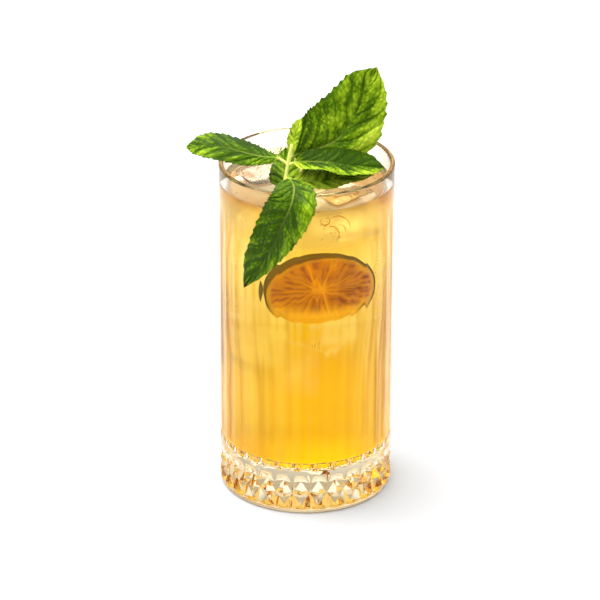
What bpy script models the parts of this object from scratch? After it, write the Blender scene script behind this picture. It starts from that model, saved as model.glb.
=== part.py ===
"""A limeade in its glass: a fluted highball glass with a diamond-cut foot, the drink in it,
two ice cubes that break its surface and a sprig of mint that leans over the rim.

Run with: blender --background --python part.py
Sizes are in millimetres, turned into metres by MM. The origin is the middle of the
glass's underside, +Z is up and -Y is the front, over which the lowest leaf hangs.
"""

import math

import bmesh
import bpy
import numpy as np
from mathutils import Euler, Vector

MM = 0.001
GAP = 0.3  # left between touching pieces
MERGE = 0.00001  # metres

# The glass: heights above the table and radii
GLASS_HEIGHT = 150.0
RIM_RADIUS = 37.5
FOOT_RADIUS = 37.5
LIP_RADIUS = 0.9
RIM_WALL = 2.2
FLOOR_THICKNESS = 17.2
CAVITY_FOOT_RADIUS = 31.6
CAVITY_CORNER = 6.0
FOOT_CORNER = 1.6

# The flutes: one is centred on the front
FLUTES = 30
FLUTE_DEPTH = 0.35
FLUTE_START = 138.0  # where they begin to fade in under the plain band
FLUTE_FULL = 126.0
FLUTE_END = 20.5  # the lowest point of their round lower ends
COLUMNS_PER_FLUTE = 4

# The band of diamonds round the foot
DIAMONDS = 30
DIAMOND_TURN = -3.0  # degrees from the front to the nearest diamond
DIAMOND_TOP = 15.0
DIAMOND_BOTTOM = 3.2
DIAMOND_DEPTH = 1.5

# The drink and its ice
DRINK_LEVEL = 141.2
DRINK_STEPS = 60
ICE_ROUNDING = 3.0
ICE_CUBES = {
    "ice_left": {"size": (22, 21, 20), "centre": (-17.5, 6.5, 133.2), "turn": (7, -6, 24)},
    "ice_right": {"size": (24, 18, 19), "centre": (15.5, -14.5, 132.6), "turn": (-6, 5, 41)},
}

# The mint. A leaf's spine runs from its stalk to its tip through these points, with its upper
# face towards "up" (base, tip). "edges" is how far its left and right side reach, seen from
# above with the tip ahead, at even steps from base to tip.
# fold lifts both sides, in degrees; bend droops the edges and wave ripples them, as a share of
# the half.
STEM_RADIUS = 1.15
STALK_RADIUS = 0.75
LEAF_THICKNESS = 0.5
STEM = ((-13, -18, 116), (-11.8, -16.3, 130), (-9.4, -14, 144.5), (-7.9, -12, 153), (-6.2, -11.2, 162))
LOW_NODE = (-9.1, -13.7, 146.4)
MIDDLE_NODE = (-7.9, -12, 153)
LEAVES = {
    "front": {
        "stalk": LOW_NODE,
        "spine": ((-7.6, -19.5, 149.8), (-5.9, -28, 151.6), (-5.2, -37, 152.2), (-6.3, -42.3, 148.2),
                  (-9.3, -42.2, 140.6), (-13.5, -40.6, 130.8), (-18.7, -37.5, 119.2),
                  (-26.3, -33.6, 106)),
        "up": ((0, 0, 1), (-0.5, -0.86, 0.1)),
        "edges": ((1, 3.4, 5.4, 8.4, 11.2, 11, 10, 8.6, 6.2, 3.7, 0),
                  (1, 4.8, 7.2, 9.3, 10.5, 11, 11.1, 10.5, 9.4, 7.4, 0)),
        "fold": 7, "bend": 0.05, "wave": 0.03, "teeth": 11,
    },
    "back": {
        "stalk": LOW_NODE,
        "spine": ((-9.6, -13.5, 143.5), (-9.3, -9.5, 145.7), (-9.2, -4.5, 148.2), (-9.1, 0, 150.8),
                  (-8.9, 4.5, 154)),
        "up": ((0, -0.5, 0.86), (0, -0.5, 0.86)),
        "edges": ((2, 5.4, 6.4, 6.7, 6.5, 6.1, 5.5, 4.6, 3.5, 2.1, 0),
                  (2, 5.2, 6.2, 6.5, 6.4, 6.1, 5.5, 4.6, 3.5, 2.1, 0)),
        "fold": 10, "bend": 0.1, "wave": 0.0, "teeth": 6,
    },
    "low": {
        "stalk": LOW_NODE,
        "spine": ((-5.5, -14.2, 146.8), (-0.7, -14.8, 147), (7.7, -13.8, 146.5), (16.1, -10, 146.3),
                  (28.4, -5.5, 145.9)),
        "up": ((0, -0.5, 0.86), (0, -0.5, 0.86)),
        "edges": ((0.8, 4, 5.8, 6.9, 7.4, 7.4, 7, 6.2, 5, 3.2, 0),
                  (0.8, 2.4, 3.2, 3.7, 4, 4.1, 4, 3.6, 3, 2, 0)),
        "fold": 6, "bend": 0.1, "wave": 0.05, "teeth": 9,
    },
    "left": {
        "stalk": MIDDLE_NODE,
        "spine": ((-11.8, -11.5, 155.7), (-17.6, -10.5, 155.9), (-23.9, -9.5, 156.9),
                  (-35.7, -7.5, 159.2), (-45, -6, 159.4), (-50.8, -5, 157.8)),
        "up": ((0, -0.26, 0.97), (0, -0.26, 0.97)),
        "edges": ((0.6, 3.3, 4.9, 6, 6.8, 7.6, 8.5, 7.8, 5.9, 4, 0),
                  (0.6, 3.7, 5.8, 6.6, 7.8, 9.8, 11, 10, 8.3, 6.2, 0)),
        "fold": 6, "bend": 0.12, "wave": 0.03, "teeth": 11,
    },
    "right": {
        "stalk": MIDDLE_NODE,
        "spine": ((-5.2, -12.4, 154.2), (-0.3, -13, 154.9), (7.7, -13.2, 154.8), (14, -12.7, 153.9),
                  (23.2, -11, 152.2), (32.7, -9, 150.5)),
        "up": ((0, -0.28, 0.96), (0, -0.28, 0.96)),
        "edges": ((1, 5, 6.3, 7.7, 9.1, 9.3, 9, 9.3, 9.9, 7.7, 0),
                  (1, 4.3, 5.1, 6.3, 7.2, 7.3, 7.6, 8.4, 7.7, 4.9, 0)),
        "fold": 12, "bend": 0.06, "wave": 0.05, "teeth": 11,
    },
    "tall": {
        "stalk": (-6.9, -11.5, 157.5),
        "spine": ((-6.4, -10.5, 156.4), (-1.6, -6.5, 156.4), (5.1, -2, 156.6), (13.2, 2, 159.5),
                  (20.2, 5.5, 168.6), (25.3, 8, 179), (29.3, 10, 188.6)),
        "up": ((0, -0.97, 0.25), (0, -0.93, 0.36)),
        "edges": ((0.8, 8, 14.3, 16.4, 16.9, 17.3, 16.6, 14.6, 12, 9, 0),
                  (0.8, 1.8, 3.2, 4.7, 7.5, 11.9, 14.6, 12.9, 10.4, 6.3, 0)),
        "fold": 11, "bend": 0.08, "wave": 0.04, "teeth": 9,
    },
    "young": {
        "stalk": (-7, -11.6, 156.5),
        "spine": ((-6.3, -11.4, 158.3), (-5.7, -11, 162), (-5, -10.4, 165.1),
                  (-3.8, -9.7, 168.8), (-2.5, -9, 173)),
        "up": ((-0.3, -0.9, 0.3), (-0.3, -0.9, 0.3)),
        "edges": ((0.9, 2, 2.5, 2.8, 3, 3, 2.9, 2.8, 2.5, 2, 0),
                  (0.9, 1.8, 2.2, 2.5, 2.6, 2.6, 2.6, 2.5, 2.1, 1.4, 0)),
        "fold": 24, "bend": 0.0, "wave": 0.0, "teeth": 5,
    },
}
LEAF_COLUMNS = 2  # on each side of the spine
SPINE_SPAN = 0.13  # how far to either side along the spine its direction is taken
TOOTH_DEPTH = 0.04  # a share of the half
TOOTH_PEAK = 0.72  # where a tooth's point lies along it
WAVES = 2.5  # along each edge

# Colours and gloss: base colour, roughness and transmission
LOOKS = {
    "glass": ((0.97, 0.98, 0.98), 0.02, 1.0),
    "drink": ((0.93, 0.62, 0.16), 0.05, 0.3),
    "ice": ((0.95, 0.9, 0.8), 0.05, 0.9),
    "mint": ((0.10, 0.27, 0.03), 0.45, 0.0),
}


def clear_scene():
    for obj in list(bpy.data.objects):
        bpy.data.objects.remove(obj, do_unlink=True)


def new_collection(name):
    made = bpy.data.collections.new(name)
    bpy.context.scene.collection.children.link(made)
    return made


def material(name, look):
    colour, roughness, transmission = LOOKS[look]
    made = bpy.data.materials.new(name)
    made.use_nodes = True
    shader = made.node_tree.nodes["Principled BSDF"]
    shader.inputs["Base Color"].default_value = (*colour, 1)
    shader.inputs["Roughness"].default_value = roughness
    shader.inputs["Transmission Weight"].default_value = transmission
    return made


def add_object(name, mesh, collection):
    obj = bpy.data.objects.new(name, mesh)
    collection.objects.link(obj)
    return obj


def evaluated_mesh(obj):
    """The object's mesh with its modifiers applied and its loose caps welded."""
    graph = bpy.context.evaluated_depsgraph_get()
    mesh = bpy.data.meshes.new_from_object(obj.evaluated_get(graph))
    shape = bmesh.new()
    shape.from_mesh(mesh)
    bmesh.ops.remove_doubles(shape, verts=shape.verts, dist=MERGE)
    shape.to_mesh(mesh)
    shape.free()
    return mesh


def applied(obj):
    """Replaces a curve or a modified mesh by its evaluated mesh, in a new object."""
    mesh = evaluated_mesh(obj)
    collection = obj.users_collection[0]
    name = obj.name
    place = obj.matrix_world.copy()
    bpy.data.objects.remove(obj, do_unlink=True)
    made = add_object(name, mesh, collection)
    made.matrix_world = place
    return made


def turned(name, profile, steps, collection):
    """A solid of revolution. profile holds (radius, height), down the outer side."""
    mesh = bpy.data.meshes.new(name)
    points = [(r * MM, 0, z * MM) for r, z in profile]
    mesh.from_pydata(points, [(i, i + 1) for i in range(len(points) - 1)], [])
    obj = add_object(name, mesh, collection)
    screw = obj.modifiers.new("Turn", "SCREW")
    screw.steps = screw.render_steps = steps
    screw.use_merge_vertices = True
    screw.merge_threshold = MERGE
    return obj


def as_cutter(obj):
    obj.hide_render = True
    obj.display_type = "WIRE"


def cut(obj, cutter):
    boolean = obj.modifiers.new(f"Cut {cutter.name}", "BOOLEAN")
    boolean.operation = "DIFFERENCE"
    boolean.object = cutter


def arc(centre, radius, start, end, count):
    """Points on an arc of the profile, from one angle to another, in degrees."""
    angles = np.radians(np.linspace(start, end, count))
    return [(centre[0] + radius * math.cos(a), centre[1] + radius * math.sin(a)) for a in angles]


def smooth(low, high, value):
    """0 below low, 1 above high, and an even ramp between."""
    t = min(max((value - low) / (high - low), 0), 1)
    return t * t * (3 - 2 * t)


def outer_radius(z):
    """The glass's outside before it is cut."""
    return FOOT_RADIUS + (RIM_RADIUS - FOOT_RADIUS) * z / GLASS_HEIGHT


def cavity_radius(z):
    """The inside of the wall, which grows thicker towards the floor."""
    share = (z - FLOOR_THICKNESS) / (GLASS_HEIGHT - FLOOR_THICKNESS)
    top = RIM_RADIUS - RIM_WALL
    return CAVITY_FOOT_RADIUS + (top - CAVITY_FOOT_RADIUS) * share**0.6


def cavity_profile(offset=0.0, top=GLASS_HEIGHT):
    """The hollow of the glass, shrunk by offset, from its level top down to its floor."""
    centre = (
        cavity_radius(FLOOR_THICKNESS + CAVITY_CORNER) - CAVITY_CORNER,
        FLOOR_THICKNESS + CAVITY_CORNER,
    )
    wall = [(cavity_radius(z) - offset, z) for z in (top, 110, 70, 38)]
    corner = arc(centre, CAVITY_CORNER - offset, 0, -90, 4)
    return [*wall, *corner, (0, FLOOR_THICKNESS + offset)]


def flute_depth(degrees_from_front, z):
    """How deep the flutes are here: round in section, with a faded top and a round bottom."""
    pitch = 360 / FLUTES
    across = 2 * abs((degrees_from_front / pitch + 0.5) % 1 - 0.5)
    reach = math.pi * FOOT_RADIUS / FLUTES
    below = max(0, FLUTE_END + reach - z) / reach
    section = max(0, 1 - across**2 - below**2)
    return FLUTE_DEPTH * section * (1 - smooth(FLUTE_FULL, FLUTE_START, z))


def diamond_depth(degrees_from_front, z):
    """How deep the band of diamonds is here: pyramids parted by grooves that cross."""
    middle = (DIAMOND_TOP + DIAMOND_BOTTOM) / 2
    up = abs(z - middle) / (DIAMOND_TOP - middle)
    if up > 1.001:
        return 0
    pitch = 360 / DIAMONDS
    across = 2 * abs(((degrees_from_front - DIAMOND_TURN) / pitch + 0.5) % 1 - 0.5)
    return DIAMOND_DEPTH * (1 - abs(1 - across - up))


def carved_depth(point):
    """How far a point of the blank's outer wall is sunk in."""
    x, y, z = (c / MM for c in point)
    if math.hypot(x, y) < outer_radius(z) - LIP_RADIUS / 2:
        return 0
    degrees = math.degrees(math.atan2(x, -y))
    return flute_depth(degrees, z) + diamond_depth(degrees, z)


def carve(mesh):
    """Sinks the flutes and the diamonds into the outer wall. Each four-sided face is split
    along its deeper diagonal, which is the one that follows a groove."""
    shape = bmesh.new()
    shape.from_mesh(mesh)
    depths = {vertex: carved_depth(vertex.co) for vertex in shape.verts}
    for face in [face for face in shape.faces if len(face.verts) == 4]:
        a, b, c, d = face.verts
        ends = (a, c) if depths[a] + depths[c] > depths[b] + depths[d] else (b, d)
        bmesh.utils.face_split(face, *ends)
    for vertex, depth in depths.items():
        shrink = 1 - depth * MM / max(math.hypot(vertex.co.x, vertex.co.y), MM)
        vertex.co.x *= shrink
        vertex.co.y *= shrink
    shape.to_mesh(mesh)
    shape.free()


def build_glass(collection, cutters):
    reach = math.pi * FOOT_RADIUS / FLUTES
    lip = arc((RIM_RADIUS - LIP_RADIUS, GLASS_HEIGHT - LIP_RADIUS), LIP_RADIUS, 90, 0, 3)
    heights = [FLUTE_START, (FLUTE_START + FLUTE_FULL) / 2, FLUTE_FULL]
    heights += [FLUTE_END + reach * share for share in (1, 0.5, 0)]
    heights += list(np.linspace(DIAMOND_TOP, DIAMOND_BOTTOM, 5))
    wall = [(outer_radius(z), z) for z in heights]
    corner = arc((FOOT_RADIUS - FOOT_CORNER, FOOT_CORNER), FOOT_CORNER, 0, -90, 3)
    profile = [(0, GLASS_HEIGHT), *lip, *wall, *corner, (0, 0)]
    glass = applied(turned("glass", profile, FLUTES * COLUMNS_PER_FLUTE, collection))
    carve(glass.data)
    inner = cavity_profile(top=GLASS_HEIGHT - LIP_RADIUS)
    rounded = [(cavity_radius(GLASS_HEIGHT) + LIP_RADIUS * 0.35, GLASS_HEIGHT + GAP)]
    profile = [(0, GLASS_HEIGHT + GAP), *rounded, *inner]
    hollow = turned("glass_hollow", profile, DRINK_STEPS, cutters)
    as_cutter(hollow)
    cut(glass, hollow)
    glass.data.materials.append(material("Clear glass", "glass"))
    return glass


def ice_cube(name, place, collection, swell=0.0):
    """A block with soft corners. swell adds a margin on every side, for a cutter."""
    bpy.ops.mesh.primitive_cube_add(size=1)
    obj = bpy.context.object
    for home in list(obj.users_collection):
        home.objects.unlink(obj)
    collection.objects.link(obj)
    obj.name = name
    for vertex in obj.data.vertices:
        vertex.co = Vector(c * (side + 2 * swell) * MM for c, side in zip(vertex.co, place["size"]))
    obj.location = Vector(place["centre"]) * MM
    obj.rotation_euler = Euler([math.radians(a) for a in place["turn"]])
    bevel = obj.modifiers.new("Melted edges", "BEVEL")
    bevel.width = (ICE_ROUNDING + swell) * MM
    bevel.segments = 2
    return obj


def curve_tube(name, points, radius, collection, end_radius=None, steps=6):
    """A round stem along a smooth line through the points, with closed ends."""
    data = bpy.data.curves.new(name, "CURVE")
    data.dimensions = "3D"
    data.bevel_depth = radius * MM
    data.bevel_resolution = 2
    data.use_fill_caps = True
    line = spline_points(points, steps)
    spline = data.splines.new("POLY")
    spline.points.add(len(line) - 1)
    end = radius if end_radius is None else end_radius
    for i, (point, co) in enumerate(zip(spline.points, line)):
        point.co = (*(co * MM), 1)
        point.radius = 1 + (end / radius - 1) * i / (len(line) - 1)
    return add_object(name, data, collection)


def spline_at(points, t):
    """The point at t, from 0 to 1, of a smooth curve through the points."""
    points = np.asarray(points, float)
    padded = np.vstack([2 * points[0] - points[1], points, 2 * points[-1] - points[-2]])
    place = min(max(t, 0), 1) * (len(points) - 1)
    i = min(int(place), len(points) - 2)
    f = place - i
    a, b, c, d = padded[i : i + 4]
    return 0.5 * (2 * b + (c - a) * f + (2 * a - 5 * b + 4 * c - d) * f**2 + (3 * b - a - 3 * c + d) * f**3)


def spline_points(points, steps):
    count = steps * (len(points) - 1)
    return [spline_at(points, i / count) for i in range(count + 1)]


def leaf_frame(leaf, t):
    """The spine's point, and the leaf's side and up directions there."""
    here = spline_at(leaf["spine"], t)
    ahead = spline_at(leaf["spine"], t + SPINE_SPAN) - spline_at(leaf["spine"], t - SPINE_SPAN)
    ahead /= np.linalg.norm(ahead)
    base, tip = (np.asarray(v, float) for v in leaf["up"])
    up = base + (tip - base) * smooth(0.15, 0.6, t)
    up -= ahead * up.dot(ahead)
    up /= np.linalg.norm(up)
    return here, np.cross(up, ahead), up


def leaf_half(leaf, t, across):
    """How far the leaf reaches on the left (across below 0) or right of its spine."""
    return max(0, spline_at(np.transpose(leaf["edges"]), t)[0 if across < 0 else 1])


def leaf_rows(leaf):
    """Where the rows lie along the leaf, each with how far its edge stands out: a notch and
    a point for each tooth, which leans towards the tip."""
    rows = [(0.0, 0.0)]
    for k in range(leaf["teeth"]):
        start = (k + 0.35) / (leaf["teeth"] + 0.6)
        rows.append((start, 1 - TOOTH_DEPTH))
        rows.append((start + TOOTH_PEAK / (leaf["teeth"] + 0.6), 1 + TOOTH_DEPTH))
    rows.append((1.0, 0.0))
    return rows


def leaf_point(leaf, t, across, edge):
    """A point of the leaf's middle surface. across runs from -1 (left edge) to 1 (right)."""
    here, side, up = leaf_frame(leaf, t)
    half = leaf_half(leaf, t, across)
    reach = half * abs(across) * (1 + (edge - 1) * across**2)
    lift = math.radians(leaf["fold"])
    out = side * (-1 if across > 0 else 1)
    ripple = leaf["wave"] * math.sin(2 * math.pi * WAVES * t + 2 * across)
    rise = reach * math.sin(lift) + half * across**2 * 2 * (ripple - leaf["bend"])
    return here + out * reach * math.cos(lift) + up * rise


def build_leaf(name, leaf, collection):
    """A thin wavy solid: an open surface of triangles with Solidify, so that both faces are
    split alike."""
    rows = leaf_rows(leaf)
    columns = np.linspace(-1, 1, 2 * LEAF_COLUMNS + 1)
    shape = bmesh.new()
    grid = []
    for t, edge in rows[1:-1]:
        grid.append([shape.verts.new(leaf_point(leaf, t, c, edge) * MM) for c in columns])
    base = shape.verts.new(leaf_point(leaf, 0, 0, 1) * MM)
    tip = shape.verts.new(leaf_point(leaf, 1, 0, 1) * MM)
    for left, right in zip(grid[0], grid[0][1:]):
        shape.faces.new((base, right, left))
    for left, right in zip(grid[-1], grid[-1][1:]):
        shape.faces.new((left, right, tip))
    for row, above in zip(grid, grid[1:]):
        for i in range(len(row) - 1):
            a, b, c, d = row[i], row[i + 1], above[i + 1], above[i]
            if i < LEAF_COLUMNS:
                shape.faces.new((a, b, c))
                shape.faces.new((a, c, d))
            else:
                shape.faces.new((a, b, d))
                shape.faces.new((b, c, d))
    mesh = bpy.data.meshes.new(name)
    shape.to_mesh(mesh)
    shape.free()
    obj = add_object(name, mesh, collection)
    solidify = obj.modifiers.new("Thickness", "SOLIDIFY")
    solidify.thickness = LEAF_THICKNESS * MM
    solidify.offset = 0
    return applied(obj)


def build_sprig(collection, pieces):
    """The stem, the leaves and their stalks, joined into one solid."""
    sprig = applied(curve_tube("mint_sprig", STEM, STEM_RADIUS, collection, STALK_RADIUS))
    for name, leaf in LEAVES.items():
        build_leaf(f"leaf_{name}", leaf, pieces)
        stalk = [leaf["stalk"], *leaf["spine"][:2]]
        applied(curve_tube(f"stalk_{name}", stalk, STALK_RADIUS, pieces, STALK_RADIUS * 0.5, 2))
    union = sprig.modifiers.new("Join", "BOOLEAN")
    union.operation = "UNION"
    union.operand_type = "COLLECTION"
    union.collection = pieces
    made = applied(sprig)
    for piece in list(pieces.objects):
        bpy.data.objects.remove(piece, do_unlink=True)
    bpy.data.collections.remove(pieces)
    made.data.materials.append(material("Mint", "mint"))
    return made


def build_drink(collection, cutters):
    """The drink up to its level, cut round the ice and the stem."""
    profile = cavity_profile(GAP, DRINK_LEVEL)
    drink = applied(turned("drink", [(0, DRINK_LEVEL), *profile], DRINK_STEPS, collection))
    for name, place in ICE_CUBES.items():
        cube = ice_cube(f"{name}_room", place, cutters, swell=GAP)
        as_cutter(cube)
        cut(drink, cube)
    tube = curve_tube("stem_room", STEM, STEM_RADIUS + GAP, cutters)
    room = applied(tube)
    as_cutter(room)
    cut(drink, room)
    drink.data.materials.append(material("Limeade", "drink"))
    return drink


def main():
    clear_scene()
    limeade = new_collection("limeade")
    cutters = new_collection("cutters")
    build_glass(limeade, cutters)
    for name, place in ICE_CUBES.items():
        cube = ice_cube(name, place, limeade)
        cube.data.materials.append(material(f"Ice {name}", "ice"))
    build_sprig(limeade, new_collection("sprig_pieces"))
    build_drink(limeade, cutters)


main()
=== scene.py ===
"""The looks of the limeade: a fluted glass with a diamond-cut foot, a cloudy amber drink with
ice and a sunk slice of lime, and a sprig of mint over the rim.

Sizes are in millimetres, turned into metres by MM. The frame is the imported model's: the origin
is the middle of the glass's underside, +Z is up and -Y is the front.
"""

import math

import bpy
import numpy as np
from mathutils import Euler, Matrix, Vector, noise

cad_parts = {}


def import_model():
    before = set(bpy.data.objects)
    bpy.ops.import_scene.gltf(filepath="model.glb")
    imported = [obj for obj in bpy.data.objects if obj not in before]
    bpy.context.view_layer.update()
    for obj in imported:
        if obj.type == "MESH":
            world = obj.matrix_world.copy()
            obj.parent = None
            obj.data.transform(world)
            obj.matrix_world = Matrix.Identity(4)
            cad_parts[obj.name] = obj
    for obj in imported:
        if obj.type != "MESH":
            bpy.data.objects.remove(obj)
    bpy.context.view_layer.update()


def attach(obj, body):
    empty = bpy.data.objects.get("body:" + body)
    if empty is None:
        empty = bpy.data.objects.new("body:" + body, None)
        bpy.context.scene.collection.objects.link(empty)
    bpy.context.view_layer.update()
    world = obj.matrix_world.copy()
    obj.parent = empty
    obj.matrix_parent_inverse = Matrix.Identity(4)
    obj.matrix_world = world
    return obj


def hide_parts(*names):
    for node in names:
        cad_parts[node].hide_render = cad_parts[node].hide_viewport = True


MM = 0.001
BODY = "root"

# The glass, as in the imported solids
GLASS_HEIGHT = 150.0
OUTER_RADIUS = 37.5
LIP_RADIUS = 0.9
RIM_WALL = 2.2
FLOOR_THICKNESS = 17.2
CAVITY_FOOT_RADIUS = 31.6
CAVITY_CORNER = 6.0
FOOT_CORNER = 1.6
FLUTES = 30
FLUTE_DEPTH = 0.35
FLUTE_START = 138.0
FLUTE_FULL = 126.0
FLUTE_END = 20.5
DIAMONDS = 30
DIAMOND_TURN = -3.0
DIAMOND_TOP = 15.0
DIAMOND_BOTTOM = 3.2
DIAMOND_DEPTH = 1.5
FACET_STEPS = 6  # columns and rows in half a diamond
COLUMNS = 2 * FACET_STEPS * DIAMONDS

# The drink
DRINK_LEVEL = 141.2
INTO_WALL = 0.15  # how far the drink reaches into the glass, so that no air shows between
MENISCUS_RISE = 0.9
MENISCUS_WIDTH = 2.4

# The ice that breaks the surface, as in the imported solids, and the colours of its frosted top
ICE_ROUNDING = 3.0
ICE_STEPS = 26
FROST_DEPTH = 0.6  # the frosted part starts this far below the surface
ICE_CUBES = {
    "ice_left": {"size": (22, 21, 20), "centre": (-17.5, 6.5, 133.2), "turn": (7, -6, 24), "seed": 3,
                 "pale": (0.38, 0.33, 0.23), "vein": (0.3, 0.15, 0.045)},
    "ice_right": {"size": (24, 18, 19), "centre": (15.5, -14.5, 132.6), "turn": (-6, 5, 41), "seed": 8,
                  "pale": (0.62, 0.4, 0.1), "vein": (0.5, 0.22, 0.03)},
}
VEIN_MARKS = (0.45, 0.483, 0.517, 0.55)  # where a vein begins and ends, as values of the noise

# Blocks of ice sunk in the cloud
SUNK_ICE = {
    "sunk_ice_left": {"size": (21, 20, 17), "centre": (-17.5, -8.5, 67.5), "turn": (10, 18, 16),
                      "seed": 5},
    "sunk_ice_right": {"size": (15, 17, 13), "centre": (11.5, -11.5, 72.5), "turn": (14, -9, -12),
                       "seed": 6},
}
# How they show on the cloud: painted highlights along their edges, from (x, z) to (x, z) with
# their half width and how bright they are, and paler patches on their sides, by their middle, half
# sizes and how pale they are
SUNK_EDGE_HIGHLIGHTS = (
    ((-26, 82), (-16, 78.4), 2.4, 1.0), ((-16, 78.4), (-9, 76), 2.6, 1.0),
    ((-9, 76), (-8.8, 88), 1.2, 0.5), ((5, 82.7), (16, 83), 0.9, 0.5),
    ((16, 83), (16.2, 75), 0.9, 0.6), ((16.2, 75), (8, 69.4), 1.0, 0.7),
    ((8, 69.4), (-9, 75.2), 0.7, 0.35), ((3, 79), (10, 81.5), 1.0, 0.6),
)
SUNK_SIDES = (
    (11, 78, 6.5, 5.5, 0.55), (-18, 71, 9, 6, 0.5), (-3, 64, 6, 8, 0.2), (-16, 85, 8, 5, 0.4),
)
# The colour of the paler patches and of the painted highlights along the edges
SUNK_PALE_AND_HIGHLIGHT = (1.0, 1.0, 0.9)

# Bubbles on the wall: direction, height, their spreads, how many. More float at the surface
BUBBLES = (
    (14, 136, 3, 1.6, 12), (18, 130, 4, 3, 16), (20, 125, 3, 3, 8), (-62, 118, 3, 9, 12),
    (55, 112, 4, 12, 8), (-54, 86, 3, 9, 7), (110, 120, 22, 14, 14), (-120, 118, 22, 14, 14),
    (178, 122, 20, 12, 14),
)
FLOATING_BUBBLES = 46
# Lines of the ice's edges behind the wall: (direction, height)
ICE_EDGES = (
    ((10.5, 138.6), (9.5, 136.6), (12.5, 135.4), (15.5, 136.2), (15.2, 138.2), (12.8, 138.4)),
    ((17, 138.2), (21.5, 138.9), (26, 137.6), (29.5, 135.6), (31, 133.2)),
    ((15, 134.6), (19, 134.2), (22, 132.2), (22.8, 129.6), (21, 127.2)),
    ((24.5, 134.8), (26.8, 133.2), (27.2, 130.8)),
)
ICE_EDGE_COLOUR = (0.7, 0.42, 0.14)

# What light that is seen keeps of its colour through one face
WHITE = (1.0, 1.0, 1.0)
CLEAR_TINT = (0.99, 0.93, 0.78)
FOOT_TINT = (0.92, 0.73, 0.42)  # the drink colours all light in the foot
DRINK_TINT = (0.9, 0.7, 0.22)
SURFACE_TINT = (1.0, 0.96, 0.7)
# What a lamp's light keeps through one face
GLASS_SHADE = (0.96, 0.96, 0.96)
FOOT_SHADE = (0.69, 0.63, 0.57)
UNDERSIDE_SHADE = (1.0, 0.74, 0.36)
DRINK_SHADE = (0.98, 0.97, 0.96)
CLOUD_SHADE = (0.96, 0.94, 0.91)
BUBBLE_SHADE = (0.97, 0.97, 0.97)
# How much light bends: each one's index of refraction
GLASS_BEND = 1.5
DRINK_BEND = 1.34
ICE_BEND = 1.31
BUBBLE_BEND = 0.75
SOAKED_BEND = 1.1  # of the cloud, and of the slice and the ice's edges in the drink
SUNK_BEND = 1.04  # where the big cubes lie in the drink
BLOCK_BEND = 1.03  # of the blocks sunk in the cloud

# The cloudy body of the drink: it fills the glass but for a clear pocket behind the front wall
CLOUD_BOTTOM = FLOOR_THICKNESS + 0.6
CLOUD_TOP = 138.8
CLOUD_MARGIN = 0.9
CLOUD_COLUMNS = 360
CLOUD_SOFTNESS = 0.35  # how round the corner is where its face meets the wall
# How far forward the cloud's face lies: (height, y)
CLOUD_FACE = ((0, -60), (46, -60), (58, -34), (70, -16), (80, -7), (90, -5), (106, -6),
              (119, -19), (121.5, -30), (124.5, -60), (140, -60))
# Its colours at marks of height (0 to 1), at the front and at the sides; the last is its top
CLOUD_TONES = (
    # Painted light: the first two marks are painted pale, to make up for the little light that reaches
    # the bottom through the foot
    (0.0, (1.0, 1.0, 0.0), (1.0, 0.87, 0.05)),
    (0.07, (1.0, 0.98, 0.0), (0.98, 0.79, 0.05)),
    (0.16, (0.93, 0.6, 0.0), (0.8, 0.6, 0.05)),
    (0.4, (0.82, 0.48, 0.0), (0.7, 0.52, 0.05)),
    (0.55, (0.82, 0.61, 0.0), (0.7, 0.55, 0.08)),
    (0.75, (0.82, 0.56, 0.03), (0.72, 0.58, 0.1)),
    (0.88, (0.54, 0.36, 0.07), (0.7, 0.52, 0.12)),
    (1.0, (0.52, 0.39, 0.11), (0.78, 0.58, 0.17)),
    (1.00005, (1.0, 1.0, 0.78), (1.0, 1.0, 0.78)),
)
CLOUD_FRONT = 14.0  # the direction of its deepest colour, in degrees right of the front
CLOUD_BEHIND = (1.0, 1.0, 0.86)  # the upper part of its back, which lets the light in
# Painted light and shade: upright streaks that the flutes' refraction throws, painted on the cloud:
# direction, half width in degrees, how pale; below 0 a brown painted shade, over 1 a painted highlight,
# nearly white
FLUTE_LIGHT_STREAKS = (
    (-74, 2.0, -0.8), (-70, 1.4, 0.9), (-65.5, 1.6, -1.0), (-60, 1.8, 1.7), (-56, 1.2, -0.9),
    (-50, 2.6, 0.9), (-45.5, 1.2, -0.5), (-38, 4.5, 0.9), (-30, 1.3, -0.5), (-26, 1.2, 0.5),
    (-21, 1.2, -0.2), (-16, 2.6, 0.9), (-10, 1.0, -0.35), (-6, 1.8, 0.9), (-2, 1.0, -0.4),
    (3, 0.9, 0.3), (9, 0.9, -0.3), (14, 0.9, 0.3), (19, 1.2, -0.35), (24.5, 1.0, 0.7),
    (29, 1.4, -0.4), (34, 1.0, 0.6), (38, 1.4, 0.9), (42, 1.2, -0.6), (46.5, 1.6, 0.9),
    (51.5, 1.3, -1.0), (57, 1.4, -0.6), (62, 1.8, 2.2), (67, 1.4, -0.9), (71, 1.6, 0.7),
    (76, 2.0, -0.7),
)
# The streaks' colours: pale painted light, a nearly white painted highlight, and painted shade
STREAK_PALE = (0.98, 0.84, 0.012)
STREAK_PALE_BESIDE = (0.98, 0.9, 0.6)
STREAK_PAINTED_HIGHLIGHT = (1.0, 1.0, 0.95)
STREAK_PAINTED_SHADE = (0.45, 0.6, 0.75)  # what a brown streak takes from each channel

# The sunk slice of lime
SLICE_RADIUS = 22.0
SLICE_THICKNESS = 3.0
SLICE_WEDGE = 0.65  # how much thicker it is on its left
SLICE_CENTRE = (5.1, -17.5, 101.0)
SLICE_LEAN = 30.0  # how far its top leans forward
SLICE_YAW = 8.0
SLICE_COLUMNS = 240
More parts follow.
